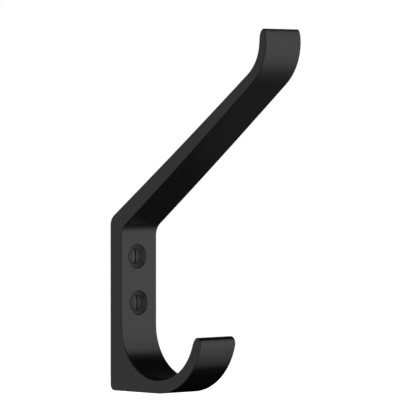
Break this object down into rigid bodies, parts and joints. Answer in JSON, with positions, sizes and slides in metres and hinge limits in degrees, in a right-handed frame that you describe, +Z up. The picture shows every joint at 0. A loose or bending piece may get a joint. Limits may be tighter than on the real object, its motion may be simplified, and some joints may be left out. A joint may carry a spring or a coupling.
{
  "type": "hat hook",
  "caption": "Wall-mounted hat and coat hook in black bar: long slanting upper arm with an upturned tip, small J below, countersunk screws through the stem",
  "frame": {"origin": "on the wall plane (the stem's back face), in the middle of the hook's width, half way in height between the two screws", "axes": "+X across the width, to the right seen from the room; +Y into the wall, so the hook stands out towards -Y; +Z up along the stem"},
  "size_m": [0.018, 0.0921, 0.1352],
  "materials": {
    "hook": "satin black coating over extruded aluminium",
    "screw": "blackened steel"
  },
  "bodies": {
    "root": {"hook": "hook", "upper_screw": "screw", "lower_screw": "screw"}
  },
  "joints": []
}
